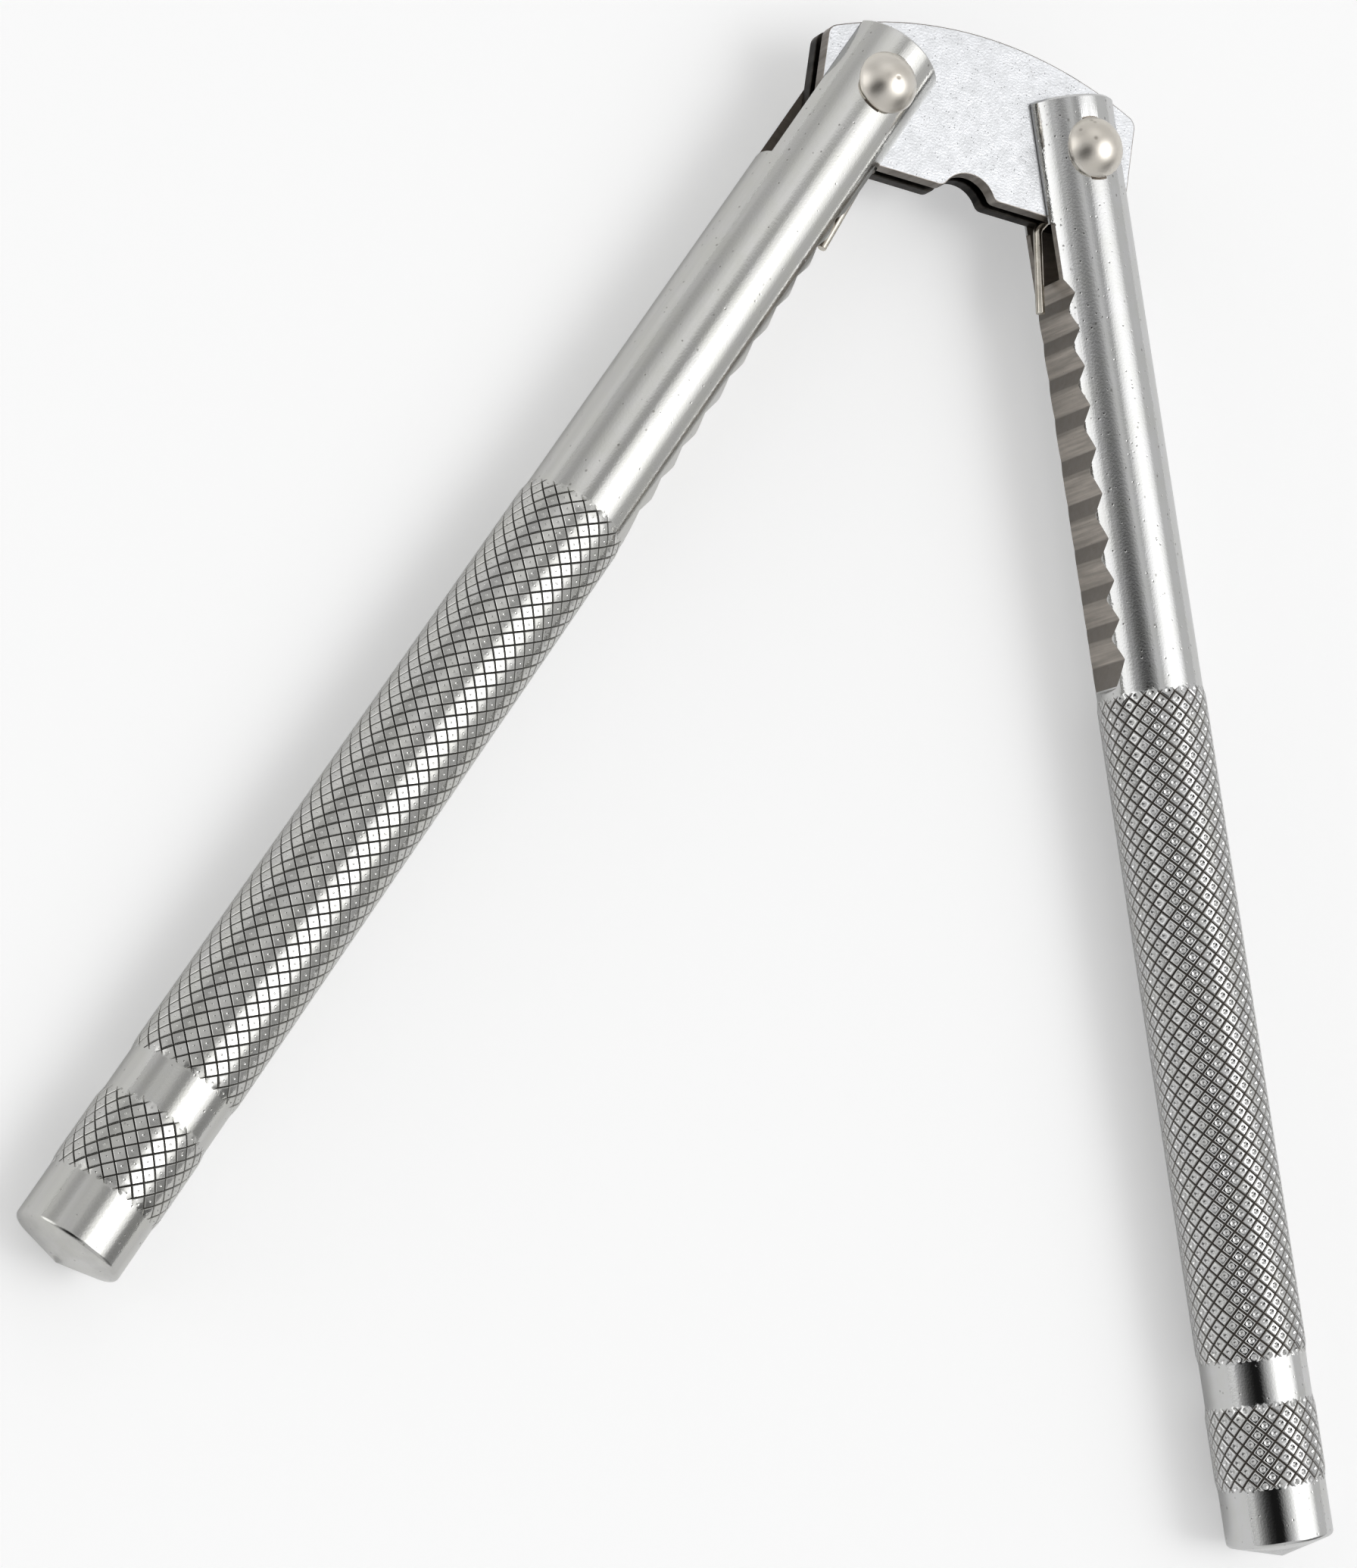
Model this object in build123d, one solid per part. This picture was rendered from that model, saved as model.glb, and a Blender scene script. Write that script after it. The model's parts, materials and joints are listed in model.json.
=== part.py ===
from build123d import *
import os
from math import asin, atan2, cos, hypot, pi, radians, sin

# A spring nutcracker: two round bar handles are forked over a pair of head plates and
# pivot on dome-headed rivets, and one wire spring between the plates pushes them apart.
# Millimetres, +Z up through the plates. Everything is drawn about the head's centre,
# midway between the two rivets and between the two plates, with +Y to the head's top,
# and moved at the end so that the origin is the middle of the base.

# ---- handles ----
KNURL_R = 7.0                 # over the knurling
SHANK_R = 6.8                 # smooth bar
TOP_ABOVE_RIVET = 7.2         # square end of the fork above the rivet's centre
MAIN_KNURL = (69.9, 155.0)    # distances from the rivet along the bar
END_KNURL = (160.4, 171.0)
RIM_AT = 178.0                # rim of the lower end
CONE_HEIGHT = 2.0             # shallow point turned on the lower end
RIM_ROUND = 0.6
TOP_CHAMFER = 0.35
LEFT_ANGLE = 25.9             # each handle's lean from -Y at rest, on the spring
RIGHT_ANGLE = 17.8

# ---- jaw, milled on the inner side of each handle ----
UPPER_FLAT = 6.05             # height of each face above the bar's axis
UPPER_FLAT_END = 8.8          # distance from the rivet along the bar
LAND = 5.7
TOOTH_CUTS = (18.2, 22.8, 27.7, 32.8, 38.4, 44.2, 50.0, 55.4, 60.4, 65.5)
FIRST_CUT_START = 16.2
TOOTH_DEPTH = 0.85            # valley below the crests beside it
CREST_SHARE = 0.44            # where a crest stands between one cut and the next
CREST_FIRST = 5.75            # crest heights, from the first to the last
CREST_LAST = 6.3
VALLEY_ROUND = 0.3
LAST_CREST_LENGTH = 1.2       # flat left between the last cut and the knurling
CUT_HALF_DEPTH = 9.0          # how far the cutters pass each side of the bar
OVERRUN = 1.0                 # how far they pass the bar's top end

# ---- head ----
RIVET_SPACING = 30.2
PLATE_THICK = 1.9
PLATE_GAP = 1.4
PLATE_HALF_WIDTH = 22.5
PLATE_TOP = 11.85
PLATE_TOP_RADIUS = 53.6
PLATE_BOTTOM = -9.25
PLATE_OFFSET = 0.3            # the outline's middle stands this far right of the rivets' middle
PLATE_CORNER = 1.6
NOTCH_RADIUS = 3.9
NOTCH_TOP = -6.75
NOTCH_LIP = 1.2
RIVET_R = 2.5
HEAD_R = 3.95
HEAD_RIM = 0.4
HEAD_TOP = 9.45               # crown of a rivet head above the head's mid-plane

# ---- fits ----
PIVOT_CLEARANCE = 0.05        # radial, handle bore on rivet
SLOT_CLEARANCE = 0.1          # each side of the plates
HEAD_SEAT = 6.7               # spot-faced seat under each rivet head
SEAT_RADIUS = 4.2
SEAT_CLEARANCE = 0.05

# ---- fork slot ----
SLOT_CUTTER_R = 20.0
SLOT_ROOT = 16.85             # on the bar's axis, from the rivet

# ---- spring ----
WIRE_R = 0.6
COIL_R = 3.2                  # wire centre round each rivet
LEG_BENDS = ((-13.6, -10.3), (11.95, -10.3))   # where a leg turns from rivet to jaw
LEG_TIPS = ((-17.9, -21.0), (13.9, -21.15))
LEG_BEND_R = 1.4

HALF_STACK = PLATE_GAP / 2 + PLATE_THICK
HALF_SLOT = HALF_STACK + SLOT_CLEARANCE
HALF_SPACING = RIVET_SPACING / 2
BORE_R = RIVET_R + PIVOT_CLEARANCE


def turned_bar():
    """The bar before milling, standing along Y with the rivet's centre at the origin."""
    half = [
        (0, TOP_ABOVE_RIVET),
        (SHANK_R - TOP_CHAMFER, TOP_ABOVE_RIVET),
        (SHANK_R, TOP_ABOVE_RIVET - TOP_CHAMFER),
    ]
    for start, end in (MAIN_KNURL, END_KNURL):
        half += [(SHANK_R, -start), (KNURL_R, -start), (KNURL_R, -end), (SHANK_R, -end)]
    half += [(SHANK_R, -RIM_AT), (0, -RIM_AT - CONE_HEIGHT)]
    outline = make_face(Polyline(*half, close=True))
    rim = outline.vertices().sort_by_distance((SHANK_R, -RIM_AT, 0))[0]
    outline = fillet(rim, RIM_ROUND)
    return revolve(outline, Axis.Y, 360)


def fork_slot():
    """Slot of a disc cutter run in from the top end, so its root is an arc."""
    disc = Pos(0, SLOT_CUTTER_R - SLOT_ROOT) * Circle(SLOT_CUTTER_R)
    above = Pos(0, SLOT_CUTTER_R - SLOT_ROOT) * Rectangle(
        2 * SLOT_CUTTER_R, 2 * SLOT_CUTTER_R, align=(Align.CENTER, Align.MIN)
    )
    return extrude(disc + above, HALF_SLOT, both=True)


def jaw_cut():
    """Everything taken off the inner (-X) side: two flats and the row of tooth cuts."""
    count = len(TOOTH_CUTS)
    points = [
        (-CUT_HALF_DEPTH, TOP_ABOVE_RIVET + OVERRUN),
        (-UPPER_FLAT, TOP_ABOVE_RIVET + OVERRUN),
        (-UPPER_FLAT, -UPPER_FLAT_END),
        (-LAND, -UPPER_FLAT_END),
        (-LAND, -FIRST_CUT_START),
    ]
    valleys = []
    for index, cut in enumerate(TOOTH_CUTS):
        crest = CREST_FIRST + (CREST_LAST - CREST_FIRST) * index / (count - 1)
        valleys.append((-crest + TOOTH_DEPTH, -cut))
        points.append(valleys[-1])
        if index + 1 < count:
            step = TOOTH_CUTS[index + 1] - cut
            points.append((-crest, -cut - CREST_SHARE * step))
    points += [
        (-CREST_LAST, -MAIN_KNURL[0] + LAST_CREST_LENGTH),
        (-CREST_LAST, -MAIN_KNURL[0]),
        (-CUT_HALF_DEPTH, -MAIN_KNURL[0]),
    ]
    outline = make_face(Polyline(*points, close=True))
    bottoms = [outline.vertices().sort_by_distance((x, y, 0))[0] for x, y in valleys]
    outline = fillet(bottoms, VALLEY_ROUND)
    return extrude(outline, CUT_HALF_DEPTH, both=True)


def right_handle_upright():
    """Right handle hanging straight down from its rivet, jaw towards -X."""
    bar = turned_bar() - fork_slot() - jaw_cut()
    bar -= extrude(Circle(BORE_R), CUT_HALF_DEPTH, both=True)
    for side in (1, -1):
        seat = extrude(Circle(SEAT_RADIUS), side * CUT_HALF_DEPTH)
        bar -= Pos(0, 0, side * HEAD_SEAT) * seat
    return bar


def head_plate():
    """Outline shared by both plates, extruded upward from Z = 0."""
    top = Pos(PLATE_OFFSET, PLATE_TOP - PLATE_TOP_RADIUS) * Circle(PLATE_TOP_RADIUS)
    blank = Pos(PLATE_OFFSET, PLATE_BOTTOM) * Rectangle(
        2 * PLATE_HALF_WIDTH, 2 * PLATE_TOP, align=(Align.CENTER, Align.MIN)
    )
    outline = (blank & top).face()
    outline = fillet(outline.vertices(), PLATE_CORNER)
    outline -= Pos(PLATE_OFFSET, NOTCH_TOP - NOTCH_RADIUS) * Circle(NOTCH_RADIUS)
    lowest = outline.vertices().group_by(Axis.Y)[0]
    lips = lowest.sort_by(Axis.X)[1:3]
    outline = fillet(lips, NOTCH_LIP)
    for x in (-HALF_SPACING, HALF_SPACING):
        outline -= Pos(x, 0) * Circle(RIVET_R)
    return extrude(outline, PLATE_THICK)


def rivet():
    """Shank with a domed head on each end, about the origin along Z."""
    under = HEAD_SEAT + SEAT_CLEARANCE
    rise = HEAD_TOP - under - HEAD_RIM
    crown_r = (HEAD_R**2 + rise**2) / (2 * rise)
    mid_angle = radians(90) - asin(HEAD_R / crown_r) / 2
    crown_mid = (crown_r * cos(mid_angle), HEAD_TOP - crown_r + crown_r * sin(mid_angle))
    rim = (HEAD_R, under + HEAD_RIM)
    sides = Polyline((0, 0), (RIVET_R, 0), (RIVET_R, under), (HEAD_R, under), rim)
    crown = ThreePointArc(rim, crown_mid, (0, HEAD_TOP))
    axis = Line((0, HEAD_TOP), (0, 0))
    half = revolve(Plane.XZ * make_face([sides, crown, axis]), Axis.Z, 360)
    return half + mirror(half, about=Plane.XY)


def coil_corner(side, bend):
    """Where the straight bar over the rivets meets the run down to a leg's bend, if both
    are drawn out to a corner; the wire rounds that corner at COIL_R round the rivet."""
    to_rivet = (HALF_SPACING - side * bend[0], -bend[1])
    distance = hypot(*to_rivet)
    slope = atan2(to_rivet[1], to_rivet[0]) - asin(COIL_R / distance)
    run = (COIL_R - bend[1]) / sin(slope)
    return (bend[0] + side * run * cos(slope), COIL_R)


def return_spring():
    """One round wire: over the top of both rivets, round their outer sides, in under
    them, then out along the two jaws."""
    left_bend, right_bend = LEG_BENDS
    points = [
        LEG_TIPS[0],
        left_bend,
        coil_corner(-1, left_bend),
        coil_corner(1, right_bend),
        right_bend,
        LEG_TIPS[1],
    ]
    path = FilletPolyline(*points, radius=[LEG_BEND_R, COIL_R, COIL_R, LEG_BEND_R])
    start = Plane(origin=path @ 0, z_dir=path % 0)
    wire = sweep(start * Circle(WIRE_R), path=path)
    expected = path.length * pi * WIRE_R**2
    print("spring length", round(path.length, 1), "volume", round(wire.volume / expected, 4))
    return wire


upright = right_handle_upright()
plate = head_plate()
one_rivet = rivet()
left_upright = mirror(upright, about=Plane.YZ)
parts = {
    "left_handle": Pos(-HALF_SPACING, 0) * Rot(0, 0, -LEFT_ANGLE) * left_upright,
    "right_handle": Pos(HALF_SPACING, 0) * Rot(0, 0, RIGHT_ANGLE) * upright,
    "front_plate": Pos(0, 0, PLATE_GAP / 2) * plate,
    "back_plate": Pos(0, 0, -HALF_STACK) * plate,
    "left_rivet": Pos(-HALF_SPACING, 0) * one_rivet,
    "right_rivet": Pos(HALF_SPACING, 0) * one_rivet,
    "return_spring": return_spring(),
}

# ---- origin: middle of the base of the whole tool at rest ----
whole = Compound(children=[shape.solid() for shape in parts.values()]).bounding_box()
base = Pos(-round(whole.center().X, 3), -round(whole.center().Y, 3), -whole.min.Z)
print("head centre in the frame", base.position)
grip_middle = (MAIN_KNURL[0] + END_KNURL[1]) / 2
for side, angle in ((-1, LEFT_ANGLE), (1, RIGHT_ANGLE)):
    along = Vector(side * sin(radians(angle)), -cos(radians(angle)), 0)
    pivot = base.position + Vector(side * HALF_SPACING, 0, 0)
    print("pivot", pivot, "grip middle", pivot + along * grip_middle, "axis", along)

os.makedirs("parts", exist_ok=True)
for name, shape in parts.items():
    export_step(base * shape.solid(), f"parts/{name}.step")
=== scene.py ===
# %% [markdown]
# # A spring nutcracker
# Two knurled steel bars are forked over a pair of riveted head plates, and a bent wire
# between the plates pushes them open. The engineering model already fixes every size,
# pivot and limit, so this lesson loads it as a frame and gives each part its real
# surface: pressed knurling, milled teeth, rounded plate edges, domed rivets, bent wire.

# %% Load the frame
import json
from math import asin, atan2, cos, degrees, hypot, pi, radians, sin, tan

import bmesh
import bpy
from mathutils import Matrix, Vector
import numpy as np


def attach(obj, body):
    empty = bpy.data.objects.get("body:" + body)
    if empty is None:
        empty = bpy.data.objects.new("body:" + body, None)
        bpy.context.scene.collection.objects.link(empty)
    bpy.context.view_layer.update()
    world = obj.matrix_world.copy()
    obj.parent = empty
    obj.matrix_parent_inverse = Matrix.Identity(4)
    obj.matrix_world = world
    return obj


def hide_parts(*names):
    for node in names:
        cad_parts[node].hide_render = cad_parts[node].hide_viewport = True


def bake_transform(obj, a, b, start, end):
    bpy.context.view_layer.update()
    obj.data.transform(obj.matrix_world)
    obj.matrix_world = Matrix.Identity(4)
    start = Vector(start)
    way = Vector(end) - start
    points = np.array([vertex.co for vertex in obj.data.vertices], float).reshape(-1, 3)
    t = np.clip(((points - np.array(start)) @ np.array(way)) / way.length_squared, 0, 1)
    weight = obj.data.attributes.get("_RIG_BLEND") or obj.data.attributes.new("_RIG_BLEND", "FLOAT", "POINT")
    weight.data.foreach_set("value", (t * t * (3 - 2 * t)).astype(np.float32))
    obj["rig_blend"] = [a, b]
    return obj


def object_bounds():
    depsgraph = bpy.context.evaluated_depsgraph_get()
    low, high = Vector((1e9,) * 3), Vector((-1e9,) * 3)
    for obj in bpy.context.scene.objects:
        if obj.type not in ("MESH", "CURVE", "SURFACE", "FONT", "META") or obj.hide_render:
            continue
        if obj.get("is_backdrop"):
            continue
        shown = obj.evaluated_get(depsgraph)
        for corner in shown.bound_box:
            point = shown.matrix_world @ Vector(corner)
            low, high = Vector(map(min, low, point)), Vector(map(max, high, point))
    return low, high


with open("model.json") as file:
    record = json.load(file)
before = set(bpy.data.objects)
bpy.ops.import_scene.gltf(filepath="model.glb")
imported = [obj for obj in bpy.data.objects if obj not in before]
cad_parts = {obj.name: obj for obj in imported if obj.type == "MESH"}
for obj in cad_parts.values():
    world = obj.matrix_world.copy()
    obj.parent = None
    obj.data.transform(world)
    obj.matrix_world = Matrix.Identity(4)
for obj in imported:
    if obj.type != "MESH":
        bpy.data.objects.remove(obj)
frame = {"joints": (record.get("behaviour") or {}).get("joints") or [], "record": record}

cad_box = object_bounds()
joints = {joint["name"]: joint for joint in frame["joints"]}
mounts = {mount["name"]: mount for mount in frame["record"]["mounts"]}
print("whole box", [[round(value, 4) for value in corner] for corner in cad_box])

# %% [markdown]
# ## Where the parts stand
# The pivots and the lean of each bar are read from the frame, so nothing is placed by
# eye. A part is modelled on a bench: in millimetres, about its rivet, bar straight down
# and jaw to the left, because round numbers are easier to think in. One matrix then
# carries the finished mesh to its place in metres. The left bar is the same mesh,
# mirrored on the way.

# %% Sides and placing
MM = 0.001


class Side:
    """One half of the tool: its pivot, its lean and the matrix from bench to frame."""

    def __init__(self, name, sign):
        self.name = name
        self.sign = sign
        self.body = f"{name}_lever"
        self.pivot = Vector(joints[f"{name}_pivot"]["pos_m"])
        along = Vector(mounts[f"{name}_grip"]["axis"])
        self.lean = atan2(along.x, -along.y)
        flip = Matrix.Diagonal((sign, 1, 1, 1))
        turn = Matrix.Rotation(self.lean, 4, "Z")
        self.matrix = Matrix.Translation(self.pivot) @ turn @ flip @ Matrix.Scale(MM, 4)


sides = (Side("left", -1), Side("right", 1))
head_centre = (sides[0].pivot + sides[1].pivot) / 2
HALF_SPACING = (sides[1].pivot - sides[0].pivot).length / 2 / MM
head_matrix = Matrix.Translation(head_centre) @ Matrix.Scale(MM, 4)
print("half spacing", round(HALF_SPACING, 2), "mm")
print("leans", [round(degrees(side.lean), 1) for side in sides], "degrees")

# %% [markdown]
# Every piece goes through the same finish: doubles welded, mesh carried to its place,
# normals pointed outwards, and smooth shading everywhere except over real edges. A
# mirrored mesh comes out inside out, and the recalculated normals cure that. Pieces with
# large flat faces and narrow bevels also have their normals weighted by face area, or
# each bevel would bend the shading of the face beside it.

# %% Helpers for pieces
SMOOTH_BELOW = radians(24)
WELD = 0.003                    # mm


def add_object(name, mesh, materials=()):
    """Link a mesh into the scene with its materials."""
    piece = bpy.data.objects.new(name, mesh)
    bpy.context.scene.collection.objects.link(piece)
    for material in materials:
        mesh.materials.append(material)
    return piece


def finished_mesh(bm, name):
    """Point the normals outwards, shade smoothly over gentle edges, and return a new mesh."""
    bmesh.ops.recalc_face_normals(bm, faces=bm.faces)
    mesh = bpy.data.meshes.new(name)
    bm.to_mesh(mesh)
    bm.free()
    mesh.shade_smooth()
    mesh.set_sharp_from_angle(angle=SMOOTH_BELOW)
    return mesh


def mesh_from(bm, name, matrix=None):
    """Weld a bmesh drawn on the bench, carry it to its place and return it as a mesh."""
    bmesh.ops.remove_doubles(bm, verts=bm.verts, dist=WELD)
    if matrix is not None:
        bmesh.ops.transform(bm, matrix=matrix, verts=bm.verts)
    return finished_mesh(bm, name)


def weigh_normals(piece):
    """Let large faces steer the smooth shading, so that a narrow bevel does not bend it."""
    piece.modifiers.new("weigh", "WEIGHTED_NORMAL").keep_sharp = True
    graph = bpy.context.evaluated_depsgraph_get()
    weighed = bpy.data.meshes.new_from_object(
        piece.evaluated_get(graph), preserve_all_data_layers=True, depsgraph=graph
    )
    piece.modifiers.clear()
    plain = piece.data
    piece.data = weighed
    bpy.data.meshes.remove(plain)


def report(piece):
    """Print a piece's triangles, size and any open edge."""
    piece.data.calc_loop_triangles()
    bm = bmesh.new()
    bm.from_mesh(piece.data)
    loose = sum(not edge.is_manifold for edge in bm.edges)
    bm.free()
    size = [round(value / MM, 2) for value in piece.dimensions]
    print(piece.name, len(piece.data.loop_triangles), "triangles", size, "mm, open edges", loose)


# %% [markdown]
# ## Shader nodes in a few words
# Every finish below is metal, so each is a Principled shader fed by a few textures. A
# tiny class keeps the wiring readable: it adds a node, sets its sockets, and links a
# socket when the value given is another node's output.

# %% A small wiring helper
SPOT_CORE = 0.08


class Wiring:
    """Adds and links nodes in one tree."""

    def __init__(self, tree):
        self.tree = tree

    def add(self, kind, settings=None, **sockets):
        """Add a node; sockets go by name, with _ for a space, or by number, as in0."""
        node = self.tree.nodes.new(kind)
        for key, value in (settings or {}).items():
            setattr(node, key, value)
        for key, value in sockets.items():
            self.set(node, key.replace("_", " "), value)
        return node

    def set(self, node, key, value):
        """Link an output, or set a plain value."""
        by_number = key.startswith("in") and key[2:].isdigit()
        socket = node.inputs[int(key[2:]) if by_number else key]
        if isinstance(value, bpy.types.NodeSocket):
            self.tree.links.new(value, socket)
        else:
            socket.default_value = value

    def math(self, operation, first, second):
        """Do sums on two values."""
        node = self.add("ShaderNodeMath", {"operation": operation}, in0=first, in1=second)
        return node.outputs["Value"]

    def span(self, value, low, high, to_low=0.0, to_high=1.0):
        """Map a value from low-high to a new span, clamped."""
        node = self.add(
            "ShaderNodeMapRange", None, Value=value, From_Min=low, From_Max=high,
            To_Min=to_low, To_Max=to_high,
        )
        return node.outputs["Result"]

    def mix(self, share, first, second):
        """Blend two colours."""
        node = self.add("ShaderNodeMix", {"data_type": "RGBA"}, in0=share, in6=first, in7=second)
        return node.outputs[2]

    def noise(self, vector, scale, detail, rough):
        """Cloudy noise about 0.5."""
        node = self.add(
            "ShaderNodeTexNoise", None, Vector=vector, Scale=scale, Detail=detail, Roughness=rough,
        )
        return node.outputs["Fac"]

    def spots(self, vector, cells, share, edge, channel):
        """A mask of small round spots, one in a share of the random cells."""
        found = self.add("ShaderNodeTexVoronoi", None, Vector=vector, Scale=cells, Randomness=1.0)
        near = self.span(found.outputs["Distance"], SPOT_CORE, edge, 1.0, 0.0)
        colour = self.add("ShaderNodeSeparateColor", None, Color=found.outputs["Color"])
        chosen = self.math("LESS_THAN", colour.outputs[channel], share)
        return self.math("MULTIPLY", near, chosen)

    def bump(self, depth, height, under=None):
        """A normal bumped by a height, laid over another bumped normal if one is given."""
        node = self.add("ShaderNodeBump", None, Strength=1.0, Distance=depth, Height=height)
        if under is not None:
            self.set(node, "Normal", under)
        return node.outputs["Normal"]

    def space(self, stretch=(1, 1, 1), turn=0.0, about=(0, 0, 0)):
        """Object coordinates about a point, turned about Z, then drawn out along each axis."""
        coords = self.add("ShaderNodeTexCoord").outputs["Object"]
        placed = self.add(
            "ShaderNodeMapping", {"vector_type": "TEXTURE"}, Vector=coords,
            Location=about, Rotation=(0, 0, turn), Scale=stretch,
        )
        return placed.outputs["Vector"]


def new_group(name, inputs, outputs):
    """A shader node group with named sockets; returns its wiring, inputs and output node."""
    tree = bpy.data.node_groups.new(name, "ShaderNodeTree")
    for label, kind, value in inputs:
        socket = tree.interface.new_socket(label, in_out="INPUT", socket_type=kind)
        socket.default_value = value
    for label, kind in outputs:
        tree.interface.new_socket(label, in_out="OUTPUT", socket_type=kind)
    wiring = Wiring(tree)
    given = wiring.add("NodeGroupInput").outputs
    result = wiring.add("NodeGroupOutput")
    return wiring, given, result


def new_material(name, roughness=0.4, metallic=1.0):
    """A material with one Principled shader and its wiring."""
    material = bpy.data.materials.new(name)
    material.use_nodes = True
    wiring = Wiring(material.node_tree)
    shader = material.node_tree.nodes["Principled BSDF"]
    shader.inputs["Metallic"].default_value = metallic
    shader.inputs["Roughness"].default_value = roughness
    return material, wiring, shader


def use_group(wiring, tree, **sockets):
    """Place a shared group in a material with its own values."""
    return wiring.add("ShaderNodeGroup", {"node_tree": tree}, **sockets)


def dimmed(colour, share):
    """A colour brought down to a share of itself, with its alpha."""
    return (*(channel * share for channel in colour), 1)


# %% [markdown]
# ## Shared surface effects
# Three effects turn up on several metals, so each is a group built once. "peel" is the
# faint orange-peel unevenness of plating, with small pits. "mottle" is a cloudy mask for
# patches of brighter and duller metal, with dark specks. "lines" are the fine parallel
# marks that a drawn bar, a milled face or a polishing wheel leaves.

# %% Shared groups
VECTOR, FLOAT = "NodeSocketVector", "NodeSocketFloat"
PIT_SINK = 2.2                  # depth of a pit, in heights of the waves round it
SPECKS_PER_CLOUD = 3.0
STREAKS_PER_LINE = 0.12


def build_peel():
    """Height of plating: soft waves with sharp little pits."""
    wiring, given, result = new_group(
        "peel",
        [
            ("Vector", VECTOR, (0, 0, 0)), ("Wave", FLOAT, 1000.0),
            ("Pit Cells", FLOAT, 1000.0), ("Pits", FLOAT, 0.3),
        ],
        [("Height", FLOAT), ("Pit", FLOAT)],
    )
    soft = wiring.noise(given["Vector"], given["Wave"], 2.0, 0.5)
    pit = wiring.spots(given["Vector"], given["Pit Cells"], given["Pits"], 0.22, "Red")
    height = wiring.math("SUBTRACT", soft, wiring.math("MULTIPLY", pit, PIT_SINK))
    wiring.set(result, "Height", height)
    wiring.set(result, "Pit", pit)
    return wiring.tree


def build_mottle():
    """Cloudy patches between 0 and 1, and a mask of sparse dark specks."""
    wiring, given, result = new_group(
        "mottle",
        [("Vector", VECTOR, (0, 0, 0)), ("Size", FLOAT, 300.0), ("Specks", FLOAT, 0.2)],
        [("Cloud", FLOAT), ("Speck", FLOAT)],
    )
    broad = wiring.noise(given["Vector"], given["Size"], 4.0, 0.6)
    cloud = wiring.span(broad, 0.36, 0.64)
    cells = wiring.math("MULTIPLY", given["Size"], SPECKS_PER_CLOUD)
    wiring.set(result, "Cloud", cloud)
    wiring.set(result, "Speck", wiring.spots(given["Vector"], cells, given["Specks"], 0.20, "Green"))
    return wiring.tree


def build_lines():
    """Fine parallel lines, drawn out along one axis of the vector given."""
    wiring, given, result = new_group(
        "lines",
        [("Vector", VECTOR, (0, 0, 0)), ("Fineness", FLOAT, 4000.0), ("Breaks", FLOAT, 0.5)],
        [("Height", FLOAT), ("Streak", FLOAT)],
    )
    fine = wiring.noise(given["Vector"], given["Fineness"], 2.0, 0.6)
    coarse = wiring.math("MULTIPLY", given["Fineness"], STREAKS_PER_LINE)
    broad = wiring.noise(given["Vector"], coarse, 3.0, 0.6)
    streak = wiring.span(broad, 0.35, 0.65)
    height = wiring.math("ADD", fine, wiring.math("MULTIPLY", broad, given["Breaks"]))
    wiring.set(result, "Height", height)
    wiring.set(result, "Streak", streak)
    return wiring.tree


peel = build_peel()
mottle = build_mottle()
lines = build_lines()
print("groups", [tree.name for tree in (peel, mottle, lines)])

# %% [markdown]
# ## Plated bar
# Both bars are bright-plated steel, but they came out of the bath differently: the left
# one is satin, with soft streaks along it, and the right one is glossier, with more
# peel and pits. One function makes both. The streaks must run along the bar, so the
# Object coordinates are turned by the bar's lean and drawn out along it. The knurl's
# grooves hold dark polish and dirt and are also painted darker as shade, picked out by the relief value on
# the mesh.

# %% Bar finishes
STREAK_STRETCH = (1, 20, 1)
SKIN_STRETCH = (1, 1.25, 1)
PIT_CELLS = 1520.0
STREAK_FINENESS = 2600.0
STREAK_DEPTH = 0.08             # of the peel's depth
STAIN_SIZE = 330.0
STAIN_TINT = (0.90, 0.905, 0.86)
DIRT = (0.16, 0.15, 0.13, 1)
BAR_LOOKS = {
    "left": {
        "tint": (0.76, 0.755, 0.735), "groove_grime_and_shade": (0.10, 0.095, 0.085), "roughness": 0.12,
        "wave": 3800.0, "peel_depth": 8e-6, "pits": 0.16, "streak_share": 0.18,
    },
    "right": {
        "tint": (0.78, 0.78, 0.78), "groove_grime_and_shade": (0.15, 0.13, 0.11), "roughness": 0.07,
        "wave": 4200.0, "peel_depth": 9e-6, "pits": 0.34, "streak_share": 0.05,
    },
}


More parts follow.
